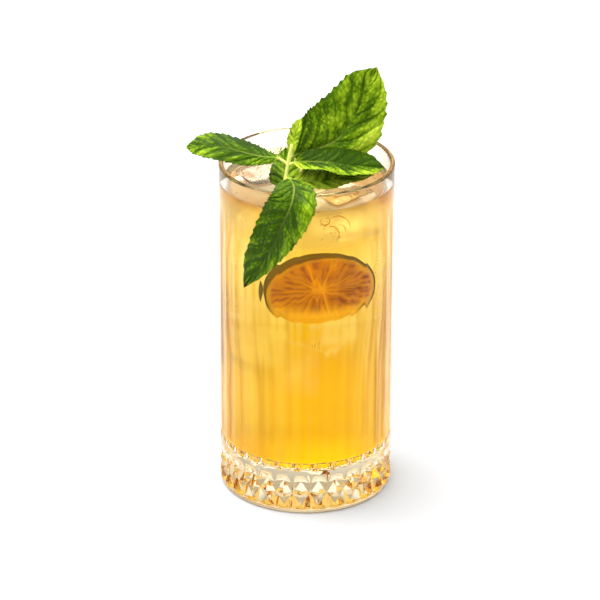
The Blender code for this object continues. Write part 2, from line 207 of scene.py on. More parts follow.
# The rings of its faces, as shares of the radius
SLICE_RINGS = (0.02, 0.08, 0.14, 0.2, 0.27, 0.34, 0.41, 0.48, 0.55, 0.62, 0.69, 0.76, 0.81, 0.85,
               0.88, 0.91, 0.94, 0.965, 0.985)
SEGMENTS = 10
LIME_FLESH = np.array((0.68, 0.36, 0.0))
LIME_DEEP = np.array((0.3, 0.1, 0.0))
LIME_MEMBRANE = np.array((0.9, 0.6, 0.0))
LIME_PITH = np.array((0.7, 0.5, 0.02))
LIME_RIND = np.array((0.07, 0.062, 0.001))
LIME_SUNK = np.array((1.0, 0.78, 0.05))  # its lower edge, deep in the cloud

# The mint, as in the imported solids. A leaf's spine runs from its stalk to its tip, with its
# upper face towards "up" (base, tip). "edges" is how far its left and right side reach, seen
# from above with the tip ahead, at even steps from base to tip. "fold" lifts both sides, in
# degrees; "bend" droops the edges and "wave" ripples them, as a share of the half.
# The rest is its lightness, 0 for the darkest green and 1 for yellow green: that of the left
# and right half beside the spine ("inner") and at the edges ("outer"), what the base and the
# tip add ("ends"), and spots (t, across, size, what it adds). The halves and spots hold painted
# light and shade besides the leaf's own green: each is set to how light that part looks where it
# stands.
STEM_RADIUS = 1.15
STALK_RADIUS = 0.75
STALK_TIP = 0.35
STEM = ((-13, -18, 116), (-11.8, -16.3, 130), (-9.4, -14, 144.5), (-7.9, -12, 153),
        (-6.2, -11.2, 162))
LOW_NODE = (-9.1, -13.7, 146.4)
MIDDLE_NODE = (-7.9, -12, 153)
LEAVES = {
    "front": {
        "stalk": LOW_NODE,
        "spine": ((-7.6, -19.5, 149.8), (-5.9, -28, 151.6), (-5.2, -37, 152.2), (-6.3, -42.3, 148.2),
                  (-9.3, -42.2, 140.6), (-13.5, -40.6, 130.8), (-18.7, -37.5, 119.2),
                  (-26.3, -33.6, 106)),
        "up": ((0, 0, 1), (-0.5, -0.86, 0.1)),
        "edges": ((1, 3.4, 5.4, 8.4, 11.2, 11, 10, 8.6, 6.2, 3.7, 0),
                  (1, 4.8, 7.2, 9.3, 10.5, 11, 11.1, 10.5, 9.4, 7.4, 0)),
        "fold": 7, "bend": 0.05, "wave": 0.03, "teeth": 20, "veins": 9,
        "inner": (0.12, 0.22), "outer": (0.58, 0.25), "ends": (0.25, 0.0),
        "spots": ((0.37, -0.35, 0.14, 0.25), (0.55, 0.1, 0.2, -0.2), (0.45, 0.35, 0.1, 0.2),
                  (0.8, -0.6, 0.15, 0.1)),
    },
    "back": {
        "stalk": LOW_NODE,
        "spine": ((-9.6, -13.5, 143.5), (-9.3, -9.5, 145.7), (-9.2, -4.5, 148.2), (-9.1, 0, 150.8),
                  (-8.9, 4.5, 154)),
        "up": ((0, -0.5, 0.86), (0, -0.5, 0.86)),
        "edges": ((2, 5.4, 6.4, 6.7, 6.5, 6.1, 5.5, 4.6, 3.5, 2.1, 0),
                  (2, 5.2, 6.2, 6.5, 6.4, 6.1, 5.5, 4.6, 3.5, 2.1, 0)),
        "fold": 10, "bend": 0.1, "wave": 0.0, "teeth": 8, "veins": 5,
        "inner": (0.6, 0.6), "outer": (0.5, 0.6), "ends": (0.1, 0.0), "spots": (),
    },
    "low": {
        "stalk": LOW_NODE,
        "spine": ((-5.5, -14.2, 146.8), (-0.7, -14.8, 147), (7.7, -13.8, 146.5), (16.1, -10, 146.3),
                  (28.4, -5.5, 145.9)),
        "up": ((0, -0.5, 0.86), (0, -0.5, 0.86)),
        "edges": ((0.8, 4, 5.8, 6.9, 7.4, 7.4, 7, 6.2, 5, 3.2, 0),
                  (0.8, 2.4, 3.2, 3.7, 4, 4.1, 4, 3.6, 3, 2, 0)),
        "fold": 6, "bend": 0.1, "wave": 0.05, "teeth": 14, "veins": 6,
        "inner": (0.9, 1.0), "outer": (0.8, 1.2), "ends": (0.2, 0.1), "spots": ((0.7, 0.3, 0.2, -0.2),),
    },
    "left": {
        "stalk": MIDDLE_NODE,
        "spine": ((-11.8, -11.5, 155.7), (-17.6, -10.5, 155.9), (-23.9, -9.5, 156.9),
                  (-35.7, -7.5, 159.2), (-45, -6, 159.4), (-50.8, -5, 157.8)),
        "up": ((0, -0.26, 0.97), (0, -0.26, 0.97)),
        "edges": ((0.6, 3.3, 4.9, 6, 6.8, 7.6, 8.5, 7.8, 5.9, 4, 0),
                  (0.6, 3.7, 5.8, 6.6, 7.8, 9.8, 11, 10, 8.3, 6.2, 0)),
        "fold": 6, "bend": 0.12, "wave": 0.03, "teeth": 20, "veins": 8,
        "inner": (0.28, 0.22), "outer": (0.38, 0.3), "ends": (0.08, 0.38),
        "spots": ((0.42, 0.6, 0.16, -0.4), (0.3, -0.7, 0.15, 0.25), (0.5, -0.3, 0.12, -0.2)),
    },
    "right": {
        "stalk": MIDDLE_NODE,
        "spine": ((-5.2, -12.4, 154.2), (-0.3, -13, 154.9), (7.7, -13.2, 154.8), (14, -12.7, 153.9),
                  (23.2, -11, 152.2), (32.7, -9, 150.5)),
        "up": ((0, -0.28, 0.96), (0, -0.28, 0.96)),
        "edges": ((1, 5, 6.3, 7.7, 9.1, 9.3, 9, 9.3, 9.9, 7.7, 0),
                  (1, 4.3, 5.1, 6.3, 7.2, 7.3, 7.6, 8.4, 7.7, 4.9, 0)),
        "fold": 12, "bend": 0.06, "wave": 0.05, "teeth": 19, "veins": 8,
        # Painted shade on the rear half, in the tall leaf's shadow, and painted light along the front
        # edge
        "inner": (-0.12, 0.1), "outer": (-0.3, 0.9), "ends": (0.85, 0.2),
        "spots": ((0.35, -0.1, 0.2, -0.15),),
    },
    "tall": {
        "stalk": (-6.9, -11.5, 157.5),
        "spine": ((-6.4, -10.5, 156.4), (-1.6, -6.5, 156.4), (5.1, -2, 156.6), (13.2, 2, 159.5),
                  (20.2, 5.5, 168.6), (25.3, 8, 179), (29.3, 10, 188.6)),
        "up": ((0, -0.97, 0.25), (0, -0.93, 0.36)),
        "edges": ((0.8, 8, 14.3, 16.4, 16.9, 17.3, 16.6, 14.6, 12, 9, 0),
                  (0.8, 1.8, 3.2, 4.7, 7.5, 11.9, 14.6, 12.9, 10.4, 6.3, 0)),
        "fold": 11, "bend": 0.08, "wave": 0.04, "teeth": 18, "veins": 8,
        "inner": (0.42, 0.4), "outer": (0.36, 0.66), "ends": (-0.1, 0.35),
        "spots": ((0.6, 0.62, 0.15, 0.45), (0.72, -0.14, 0.1, 0.28), (0.55, -0.4, 0.1, 0.25),
                  (0.72, 0.34, 0.08, -0.4), (0.82, -0.28, 0.07, -0.25), (0.9, 0.1, 0.1, 0.2)),
    },
    "young": {
        "stalk": (-7, -11.6, 156.5),
        "spine": ((-6.3, -11.4, 158.3), (-5.7, -11, 162), (-5, -10.4, 165.1),
                  (-3.8, -9.7, 168.8), (-2.5, -9, 173)),
        "up": ((-0.3, -0.9, 0.3), (-0.3, -0.9, 0.3)),
        "edges": ((0.9, 2, 2.5, 2.8, 3, 3, 2.9, 2.8, 2.5, 2, 0),
                  (0.9, 1.8, 2.2, 2.5, 2.6, 2.6, 2.6, 2.5, 2.1, 1.4, 0)),
        "fold": 24, "bend": 0.0, "wave": 0.0, "teeth": 7, "veins": 5,
        "inner": (1.3, 1.15), "outer": (1.05, 0.95), "ends": (0.15, 0.0), "spots": (),
    },
}
SPINE_SPAN = 0.13  # how far to either side along the spine its direction is taken
LAMINA = 0.34  # a leaf's thickness between its veins
ROWS_PER_TOOTH = 8
LEAF_COLUMNS = 88
TOOTH_PEAK = 0.78  # where a tooth stands out most, from its base on
TOOTH_DEPTH = 0.4  # how far the teeth stand out and in, on a leaf as wide as the tall one
WAVES = 2.5
LEAF_FRONT = 48.2  # what lies farther forward is pressed back, to end within LEAF_GIVE of this
LEAF_GIVE = 0.6

# Mint colours, from the shade between the veins to the young tips
LEAF_GREENS = (
    (0.0, (0.022, 0.058, 0.0008)),
    (0.35, (0.062, 0.135, 0.0015)),
    (0.65, (0.16, 0.275, 0.004)),
    (1.0, (0.34, 0.49, 0.02)),
    (1.5, (0.62, 0.74, 0.06)),
)
LEAF_RIB = (0.5, 0.62, 0.09)
STEM_GREEN = (0.95, 1.0, 0.25)
STALK_END = (0.2, 0.32, 0.02)
LEAF_UNDER = (0.2, 0.32, 0.06)
LEAF_SHEEN = (0.75, 1.0, 0.25)
LEAF_BURN = (0.03, 0.012, 0.004)

# The camera: the photograph's 600 x 600 frame, in pixels
FRAME_PIXELS = 600
FOCAL_PIXELS = 3465.0
CAMERA_DISTANCE = 1500.0
CAMERA_ELEVATION = 25.73
CAMERA_ROLL = 0.23
CAMERA_TARGET = (0, 0, 75.0)
TARGET_OFFSET = (6.13, 19.92)  # where the target shows, right of and below the frame's middle
SENSOR = 36.0

# The studio: how bright the sky is low down and high up, and the lamp
WORLD_LOW = 0.6
WORLD_HIGH = 1.6
LAMP_PLACE = (-0.6, 0.1, 1.7)
LAMP_SIZE = 1.0
LAMP_POWER = 28
LAMP_AIM = (0, 0, 0.08)
FLOOR_HALF = 3.0
FLOOR_DROP = 0.0002
FLOOR_GREY = 0.68
BOUNCES = 96  # light crosses many faces in the foot


def new_object(name, data):
    obj = bpy.data.objects.new(name, data)
    bpy.context.scene.collection.objects.link(obj)
    return obj


def mesh_from(name, points, faces, smooth=True):
    mesh = bpy.data.meshes.new(name)
    mesh.from_pydata([tuple(p) for p in points], [], faces)
    mesh.polygons.foreach_set("use_smooth", [smooth] * len(mesh.polygons))
    mesh.update()
    return mesh


def smooth_step(low, high, value):
    """0 below low, 1 above high, and an even ramp between. Works on arrays."""
    t = np.clip((value - low) / (high - low), 0, 1)
    return t * t * (3 - 2 * t)


def blend(a, b, share):
    """Colours a turned to b, by a share of 0 to 1 for each."""
    return a + (np.asarray(b) - a) * np.clip(share, 0, 1)[..., None]


def unit(vectors):
    return vectors / np.linalg.norm(vectors, axis=-1, keepdims=True)


def round_point(radius, degrees, z):
    """Points of a ring, by their directions, counted from the front to the right."""
    a = np.radians(degrees)
    return np.stack([radius * np.sin(a), -radius * np.cos(a), np.full_like(a, z)], -1)


def closed_rings(columns, rows):
    """The faces of a body of rings. Two more points close its first and its last ring."""
    faces = []
    last = (rows - 1) * columns
    for i in range(columns):
        j = (i + 1) % columns
        faces.append((rows * columns, j, i))
        faces.append((rows * columns + 1, last + i, last + j))
        for here in range(0, last, columns):
            above = here + columns
            faces.append((here + i, here + j, above + j, above + i))
    return faces


def join_part(piece, node=None):
    """Makes the piece part of the limeade. node is the solid that it stands for."""
    if node:
        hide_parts(node)
    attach(piece, BODY)


def add_piece(name, mesh, finishes, node=None):
    """A new piece of the limeade, in its finishes."""
    piece = new_object(name, mesh)
    for finish in finishes:
        piece.data.materials.append(finish)
    join_part(piece, node)


# Camera, floor and light


def build_camera():
    data = bpy.data.cameras.new("Camera")
    data.sensor_width = SENSOR
    data.lens = FOCAL_PIXELS / FRAME_PIXELS * SENSOR
    data.shift_x = -TARGET_OFFSET[0] / FRAME_PIXELS
    data.shift_y = TARGET_OFFSET[1] / FRAME_PIXELS
    data.clip_end = 100
    camera = new_object("Camera", data)
    elevation = math.radians(CAMERA_ELEVATION)
    back = Vector((0, -math.cos(elevation), math.sin(elevation)))
    camera.location = (Vector(CAMERA_TARGET) + back * CAMERA_DISTANCE) * MM
    look = (-back).to_track_quat("-Z", "Y")
    camera.rotation_mode = "QUATERNION"
    camera.rotation_quaternion = look @ Euler((0, 0, math.radians(CAMERA_ROLL))).to_quaternion()
    bpy.context.scene.camera = camera


def build_floor():
    half = FLOOR_HALF
    corners = [(-half, -half, 0), (half, -half, 0), (half, half, 0), (-half, half, 0)]
    floor = new_object("Floor", mesh_from("Floor", corners, [(0, 1, 2, 3)], smooth=False))
    floor.location.z = -FLOOR_DROP
    material, shader = principled("White table")
    shader.inputs["Base Color"].default_value = (FLOOR_GREY, FLOOR_GREY, FLOOR_GREY, 1)
    shader.inputs["Roughness"].default_value = 0.6
    floor.data.materials.append(material)


def build_lamp():
    data = bpy.data.lights.new("Key", "AREA")
    data.shape = "RECTANGLE"
    data.size = data.size_y = LAMP_SIZE
    data.energy = LAMP_POWER
    lamp = new_object("Key", data)
    lamp.location = LAMP_PLACE
    lamp.rotation_mode = "QUATERNION"
    aim = Vector(LAMP_AIM) - Vector(LAMP_PLACE)
    lamp.rotation_quaternion = aim.to_track_quat("-Z", "Y")


def build_world():
    world = bpy.data.worlds.new("Studio")
    bpy.context.scene.world = world
    world.use_nodes = True
    links = world.node_tree.links
    background = world.node_tree.nodes["Background"]
    background.inputs["Color"].default_value = (1, 1, 1, 1)
    place = add_node(world, "ShaderNodeTexCoord")
    split = add_node(world, "ShaderNodeSeparateXYZ")
    links.new(place.outputs["Generated"], split.inputs["Vector"])
    light = add_node(world, "ShaderNodeMapRange", From_Min=0.25, From_Max=0.8, To_Min=WORLD_LOW,
                     To_Max=WORLD_HIGH)
    light.interpolation_type = "SMOOTHSTEP"
    links.new(split.outputs["Z"], light.inputs["Value"])
    links.new(light.outputs["Result"], background.inputs["Strength"])


# Finishes


def principled(name):
    material = bpy.data.materials.new(name)
    material.use_nodes = True
    return material, material.node_tree.nodes["Principled BSDF"]


def add_node(owner, kind, **values):
    """A new node, with values set on its inputs, whose names are written with _ for a space."""
    node = owner.node_tree.nodes.new(kind)
    for name, value in values.items():
        node.inputs[name.replace("_", " ")].default_value = value
    return node


def let_lamps_through(material, tint):
    """Lamps and sky light what stands behind or inside the material, tinted on the way."""
    nodes, links = material.node_tree.nodes, material.node_tree.links
    path = add_node(material, "ShaderNodeLightPath")
    clear = add_node(material, "ShaderNodeBsdfTransparent", Color=(*tint, 1))
    mix = add_node(material, "ShaderNodeMixShader")
    links.new(path.outputs["Is Shadow Ray"], mix.inputs["Fac"])
    links.new(nodes["Principled BSDF"].outputs["BSDF"], mix.inputs[1])
    links.new(clear.outputs["BSDF"], mix.inputs[2])
    links.new(mix.outputs["Shader"], nodes["Material Output"].inputs["Surface"])


def see_through(name, tint, shade, bend, roughness=0.0, mirror=1.0):
    """A clear material. mirror scales how much it reflects head-on: little where it is wet."""
    material, shader = principled(name)
    shader.inputs["Base Color"].default_value = (*tint, 1)
    shader.inputs["Specular Tint"].default_value = (mirror, mirror, mirror, 1)
    shader.inputs["Roughness"].default_value = roughness
    shader.inputs["IOR"].default_value = bend
    shader.inputs["Transmission Weight"].default_value = 1.0
    let_lamps_through(material, shade)
    return material


def cloud_material():
    material = see_through("Cloudy limeade", WHITE, CLOUD_SHADE, SOAKED_BEND, 1.0, 0.0)
    painted = add_node(material, "ShaderNodeAttribute")
    painted.attribute_name = "paint"
    shader = material.node_tree.nodes["Principled BSDF"]
    material.node_tree.links.new(painted.outputs["Color"], shader.inputs["Base Color"])
    return material


def ice_material(name, bend, clearness=1.0, pale=None, vein=None):
    """Ice, frosted in patches. Above the drink it is also pale, with the amber lines that its
    edges and cracks draw on it."""
    material = see_through(name, WHITE, GLASS_SHADE, bend)
    shader, links = material.node_tree.nodes["Principled BSDF"], material.node_tree.links
    shader.inputs["Transmission Weight"].default_value = clearness
    place = add_node(material, "ShaderNodeTexCoord")
    if pale:
        cells = add_node(material, "ShaderNodeTexNoise", Scale=150, Detail=1.5, Distortion=1.2)
        links.new(place.outputs["Object"], cells.inputs["Vector"])
        ramp = add_node(material, "ShaderNodeValToRGB")
        for mark, colour in zip(VEIN_MARKS, (pale, vein, vein, pale)):
            ramp.color_ramp.elements.new(mark).color = (*colour, 1)
        for end in (ramp.color_ramp.elements[0], ramp.color_ramp.elements[-1]):
            end.color = (*pale, 1)
        links.new(cells.outputs["Fac"], ramp.inputs["Fac"])
        links.new(ramp.outputs["Color"], shader.inputs["Base Color"])
    grain = add_node(material, "ShaderNodeTexNoise", Scale=260, Detail=5)
    links.new(place.outputs["Object"], grain.inputs["Vector"])
    frost = add_node(material, "ShaderNodeMapRange", From_Min=0.45, From_Max=0.75, To_Min=0.02,
                     To_Max=0.35)
    links.new(grain.outputs["Fac"], frost.inputs["Value"])
    links.new(frost.outputs["Result"], shader.inputs["Roughness"])
    return material


def painted_material(name, roughness, specular, sheen=WHITE):
    """A finish whose colour is painted on the mesh, broken up by fine noise."""
    material, shader = principled(name)
    links = material.node_tree.links
    painted = add_node(material, "ShaderNodeAttribute")
    painted.attribute_name = "paint"
    place = add_node(material, "ShaderNodeTexCoord")
    grain = add_node(material, "ShaderNodeTexNoise", Scale=900, Detail=3)
    links.new(place.outputs["Object"], grain.inputs["Vector"])
    light = add_node(material, "ShaderNodeMapRange", To_Min=0.75, To_Max=1.25)
    links.new(grain.outputs["Fac"], light.inputs["Value"])
    mix = add_node(material, "ShaderNodeVectorMath")
    mix.operation = "SCALE"
    links.new(painted.outputs["Color"], mix.inputs[0])
    links.new(light.outputs["Result"], mix.inputs["Scale"])
    links.new(mix.outputs["Vector"], shader.inputs["Base Color"])
    shader.inputs["Roughness"].default_value = roughness
    shader.inputs["Specular IOR Level"].default_value = specular
    shader.inputs["Specular Tint"].default_value = (*sheen, 1)
    return material


def paint(mesh, colours):
    layer = mesh.color_attributes.new("paint", "FLOAT_COLOR", "POINT")
    values = np.ones((len(mesh.vertices), 4), dtype=np.float32)
    values[:, :3] = np.asarray(colours)
    layer.data.foreach_set("color", values.ravel())


# The glass


def cavity_radius(z):
    share = (z - FLOOR_THICKNESS) / (GLASS_HEIGHT - FLOOR_THICKNESS)
    top = OUTER_RADIUS - RIM_WALL
    return CAVITY_FOOT_RADIUS + (top - CAVITY_FOOT_RADIUS) * share**0.6


def arc(centre, radius, start, end, count):
    angles = np.radians(np.linspace(start, end, count))
    return [(centre[0] + radius * math.cos(a), centre[1] + radius * math.sin(a)) for a in angles]


def cavity_profile(top, offset=0.0, wall_steps=14):
    """(radius, height) from the floor's middle up to the wall's top. offset shrinks it."""
    middle = FLOOR_THICKNESS + CAVITY_CORNER
    centre = (cavity_radius(middle) - CAVITY_CORNER, middle)
    floor = [(r, FLOOR_THICKNESS + offset) for r in np.linspace(0, centre[0], 6)[:-1]]
    corner = arc(centre, CAVITY_CORNER - offset, -90, 0, 10)
    heights = np.linspace(middle, top, wall_steps)[1:]
    return [*floor, *corner, *[(cavity_radius(z) - offset, z) for z in heights]]


def flute_depth(degrees, z):
    """Round in section, with a faded top and a round lower end."""
    pitch = 360 / FLUTES
    across = 2 * np.abs((degrees / pitch + 0.5) % 1 - 0.5)
    reach = math.pi * OUTER_RADIUS / FLUTES
    below = max(0, FLUTE_END + reach - z) / reach
    section = np.maximum(0, 1 - across**2 - below**2)
    return FLUTE_DEPTH * section * (1 - smooth_step(FLUTE_FULL, FLUTE_START, z))


def diamond_ring(degrees, z):
    """The points of one row of the diamonds: flat facets between their corners, which lie
    on the wall or at the bottom of the grooves."""
    middle = (DIAMOND_TOP + DIAMOND_BOTTOM) / 2
    half_height = DIAMOND_TOP - middle
    pitch = 360 / DIAMONDS
    turn = (degrees - DIAMOND_TURN) / pitch
    nearest = np.round(turn)
    side = np.where(turn >= nearest, 1.0, -1.0)
    across = 2 * np.abs(turn - nearest)
    up = abs(z - middle) / half_height
    end = middle + half_height * (1 if z >= middle else -1)
    at_middle = nearest * pitch + DIAMOND_TURN
    at_side = at_middle + side * pitch / 2
    deep = OUTER_RADIUS - DIAMOND_DEPTH
    peak = round_point(OUTER_RADIUS, at_middle, middle)
    left = round_point(deep, at_side, middle)
    tip = round_point(deep, at_middle, end)
    outer = round_point(OUTER_RADIUS, at_side, end)
    across = across[:, None]
    inside = peak + across * (left - peak) + up * (tip - peak)
    outside = outer + (1 - across) * (tip - outer) + (1 - up) * (left - outer)
    return np.where(across + up <= 1 + 1e-6, inside, outside)


def glass_rings():
    """Every ring of the glass from the cavity's floor over the lip to the underside. The
    flag says that the ring belongs to the diamonds."""
    degrees = np.arange(COLUMNS) * 360 / COLUMNS
    inner = (cavity_radius(GLASS_HEIGHT) + LIP_RADIUS, GLASS_HEIGHT - LIP_RADIUS)
    outer = (OUTER_RADIUS - LIP_RADIUS, GLASS_HEIGHT - LIP_RADIUS)
    lip = arc(inner, LIP_RADIUS, 180, 90, 7) + arc(outer, LIP_RADIUS, 90, 0, 7)
    inside = [*cavity_profile(GLASS_HEIGHT - 2 * LIP_RADIUS)[1:], *lip]
    rings = [(round_point(r, degrees, z), False) for r, z in inside]
    reach = math.pi * OUTER_RADIUS / FLUTES
    heights = [FLUTE_START + 6, *np.linspace(FLUTE_START, FLUTE_FULL, 9)]
    heights += [*np.linspace(FLUTE_FULL, FLUTE_END + reach, 8)[1:]]
    heights += [FLUTE_END + reach * math.cos(math.radians(a)) for a in range(72, 0, -9)]
    heights += [FLUTE_END, FLUTE_END - 1, DIAMOND_TOP + 0.7]
    for z in heights:
        rings.append((round_point(OUTER_RADIUS - flute_depth(degrees, z), degrees, z), False))
    for z in np.linspace(DIAMOND_TOP, DIAMOND_BOTTOM, 2 * FACET_STEPS + 1):
        rings.append((diamond_ring(degrees, z), True))
    foot = arc((OUTER_RADIUS - FOOT_CORNER, FOOT_CORNER), FOOT_CORNER, 0, -90, 8)
    for r, z in [(OUTER_RADIUS, DIAMOND_BOTTOM - 0.6), *foot, (20, 0), (8, 0)]:
        rings.append((round_point(r, degrees, z), False))
    return rings


def glass_faces(in_diamonds):
    """The faces from ring to ring, with the middles of the cavity's floor and the underside,
    and which of them are flat: those of the diamonds, split along the edges of the facets."""
    faces, flat = [], []
    end = len(in_diamonds) * COLUMNS
    for i in range(COLUMNS):
        j = (i + 1) % COLUMNS
        faces += [(end, i, j), (end + 1, end - COLUMNS + j, end - COLUMNS + i)]
        flat += [False, False]
    pitch = COLUMNS // DIAMONDS
    turn = round(DIAMOND_TURN / 360 * COLUMNS)
    first = in_diamonds.index(True)
    for row, i in np.ndindex(len(in_diamonds) - 1, COLUMNS):
        j = (i + 1) % COLUMNS
        a, b, c, d = (v + row * COLUMNS for v in (i, j, COLUMNS + j, COLUMNS + i))
        if in_diamonds[row] and in_diamonds[row + 1]:
            right_half = (i - turn) % pitch < pitch // 2
            upper_half = row - first < FACET_STEPS
            faces += [(a, c, b), (a, d, c)] if right_half == upper_half else [(a, d, b), (b, d, c)]
            flat += [True, True]
        else:
            faces.append((a, d, c, b))
            flat.append(False)
    return faces, flat


def build_glass():
    """The glass, with finishes where it is dry and where the drink wets it, for its foot and
    for its underside."""
    rings, in_diamonds = zip(*glass_rings())
    points = np.vstack([*rings, (0, 0, FLOOR_THICKNESS), (0, 0, 0)])
    faces, flat = glass_faces(in_diamonds)
    mesh = mesh_from("glass_body", points * MM, faces)
    for face, is_flat in zip(mesh.polygons, flat):
        corners = points[list(face.vertices)]
        face.use_smooth = not is_flat
        face.material_index = int(all(is_wet(*corner) for corner in corners))
        if corners[:, 2].max() < DIAMOND_TOP + 0.1:
            face.material_index = 3 if corners[:, 2].max() < 0.1 else 2
    finishes = [
        see_through("Clear glass", CLEAR_TINT, GLASS_SHADE, GLASS_BEND, mirror=0.2),
        see_through("Wet glass", WHITE, GLASS_SHADE, GLASS_BEND, mirror=0.08),
        see_through("Glass foot", FOOT_TINT, FOOT_SHADE, GLASS_BEND, mirror=0.5),
        see_through("Glass underside", FOOT_TINT, UNDERSIDE_SHADE, GLASS_BEND, mirror=0.5),
    ]
    add_piece("glass_body", mesh, finishes, "glass")


def is_wet(x, y, z):
    """Whether a point of the glass lies on the part of the cavity that the drink covers."""
    return FLOOR_THICKNESS - 0.1 < z < DRINK_LEVEL + 0.5 and math.hypot(x, y) < cavity_radius(z) + 0.1


# The drink


def build_drink():
    """The drink's skin, with finishes where the wall holds it, on its surface and at the ice."""
    degrees = np.arange(180) * 2.0
    profile = cavity_profile(DRINK_LEVEL + MENISCUS_RISE, -INTO_WALL)
    wall = cavity_radius(DRINK_LEVEL)
    for step in (0.08, 0.2, 0.4, 0.65, 1, 1.6, 2.6, 4, 8, 14, 22):
        rise = MENISCUS_RISE * math.exp(-step / (MENISCUS_WIDTH / 3))
        profile.append((wall - step, DRINK_LEVEL + rise))
    rings = [round_point(r, degrees, z) for r, z in profile[1:]]
    points = np.vstack([*rings, (0, 0, profile[0][1]), (0, 0, DRINK_LEVEL)])
    faces = closed_rings(len(degrees), len(rings))
    drink = new_object("drink_body", mesh_from("drink_body", points * MM, faces))
    for name, tint, mirror in (("Limeade", DRINK_TINT, 0.1), ("Limeade surface", SURFACE_TINT, 1.0)):
        drink.data.materials.append(see_through(name, tint, DRINK_SHADE, DRINK_BEND, mirror=mirror))
    for face in drink.data.polygons:
        if points[list(face.vertices), 2].min() > DRINK_LEVEL - 0.01 and face.normal.z > 0.2:
            face.material_index = 1
    cut_round_ice(drink, see_through("Limeade at the ice", WHITE, DRINK_SHADE, SUNK_BEND, mirror=0.0))
    join_part(drink, "drink")


def cut_round_ice(obj, finish):
    """Takes the room of the ice out of a piece and gives the new faces a finish. The ice
    reaches a little into it."""
    obj.data.materials.append(finish)
    for name, place in ICE_CUBES.items():
        cutter = new_object("room", build_ice("room", place, -0.06))
        cutter.data.materials.append(finish)
        cut = obj.modifiers.new("Ice", "BOOLEAN")
        cut.operation = "DIFFERENCE"
        cut.solver = "EXACT"
        cut.material_mode = "TRANSFER"
        cut.object = cutter
        bpy.context.view_layer.update()
        graph = bpy.context.evaluated_depsgraph_get()
        obj.data = bpy.data.meshes.new_from_object(obj.evaluated_get(graph))
        obj.modifiers.clear()
        bpy.data.objects.remove(cutter, do_unlink=True)


# The ice


def build_ice(name, place, swell=0.0):
    """A cube with rounded corners and hollows melted into its sides."""
    points, faces = cube_grid(ICE_STEPS)
    half = np.array(place["size"]) / 2
    middle = np.clip(points * half, ICE_ROUNDING - half, half - ICE_ROUNDING)
    normal = unit(points * half - middle)
    body = middle + normal * ICE_ROUNDING
    seed = Vector((place["seed"], 0, 0))
    melt = np.array([noise.noise(Vector(p) / 7 + seed) for p in body])
    ripple = np.array([noise.noise(Vector(p) / 2.4 + seed) for p in body])
    body -= normal * (0.45 * (1 + melt) + 0.12 * (1 + ripple) - swell)[:, None]
    turn = Euler([math.radians(a) for a in place["turn"]]).to_matrix()
    return mesh_from(name, (body @ np.array(turn).T + place["centre"]) * MM, faces)


def cube_grid(steps):
    """The points of a cube from -1 to 1, each side split into steps x steps, and its faces."""
    marks = np.linspace(-1, 1, steps + 1)
    index, faces = {}, []
    for axis, sign, i, j in np.ndindex(3, 2, steps, steps):
        corners = []
        for u, v in ((i, j), (i + 1, j), (i + 1, j + 1), (i, j + 1)):
            point = np.roll((2 * sign - 1, marks[u], marks[v]), axis)
            corners.append(index.setdefault(tuple(point), len(index)))
        faces.append(corners if sign else corners[::-1])
    return np.array([*index]), faces


def build_ice_cubes():
    sunk = ice_material("Ice", SUNK_BEND)
    for name, place in ICE_CUBES.items():
        frosted = ice_material(f"Frosted {name}", ICE_BEND, 0.6, place["pale"], place["vein"])
        mesh = build_ice(f"{name}_cube", place)
        for face in mesh.polygons:
            face.material_index = int(face.center.z > (DRINK_LEVEL - FROST_DEPTH) * MM)
        add_piece(f"{name}_cube", mesh, [sunk, frosted], name)


# The cloudy body of the drink


def cloud_reach(around, z):
    """How far the cloud reaches from the middle in each direction: to the wall, or to its face
    in front, with a soft corner between them and slight billows."""
    lift = z - CLOUD_BOTTOM
    wall = cavity_radius(z) - CLOUD_MARGIN
    if lift < CAVITY_CORNER:
        wall -= CAVITY_CORNER - math.sqrt(max(0, CAVITY_CORNER**2 - (CAVITY_CORNER - lift) ** 2))
    face = -np.interp(z, *zip(*CLOUD_FACE))
    ahead = np.cos(around)
    to_face = np.where(ahead > 1e-3, np.maximum(face, 0.5) / np.maximum(ahead, 1e-3), 1e4)
    power = -1 / CLOUD_SOFTNESS
    reach = np.minimum((wall**power + to_face**power) ** (1 / power), wall)
    spots = [Vector((math.sin(a), math.cos(a), z / 30)) for a in around]
    billows = np.array([noise.noise(spot * 1.7) for spot in spots])
    return reach * (1 - 0.03 * (1 + billows) * min(1, lift / 30))


def build_cloud():
    """The cloudy body. Its rings lie closest where the sunk ice shows; a few more close its
    top."""
    degrees = np.linspace(-180, 180, CLOUD_COLUMNS + 1)[:-1]
    corner = CLOUD_BOTTOM + CAVITY_CORNER
    heights = [*np.linspace(CLOUD_BOTTOM, corner, 9)]
    for low, high, steps in ((corner, 60, 20), (60, 84, 48), (84, CLOUD_TOP, 28)):
        heights += [*np.linspace(low, high, steps + 1)[1:]]
    rings = [round_point(cloud_reach(np.radians(degrees), z), degrees, z) for z in heights]
    top_ring = rings[-1]
    middle = top_ring.mean(0)
    for share in (0.97, 0.8, 0.55, 0.3):
        rings.append(middle + (top_ring - middle) * share + (0, 0, 0.4 * (1 - share)))
    points = np.vstack([*rings, (0, 0, CLOUD_BOTTOM), rings[-1].mean(0)])
    mesh = mesh_from("drink_cloud", points * MM, closed_rings(CLOUD_COLUMNS, len(rings)))
    paint(mesh, cloud_colours(points))
    cloud = new_object("drink_cloud", mesh)
    cloud.data.materials.append(cloud_material())
    pocket = see_through("Limeade round the ice", WHITE, CLOUD_SHADE, SUNK_BEND, 1.0, 0.0)
    cut_round_ice(cloud, pocket)
    join_part(cloud, "drink")


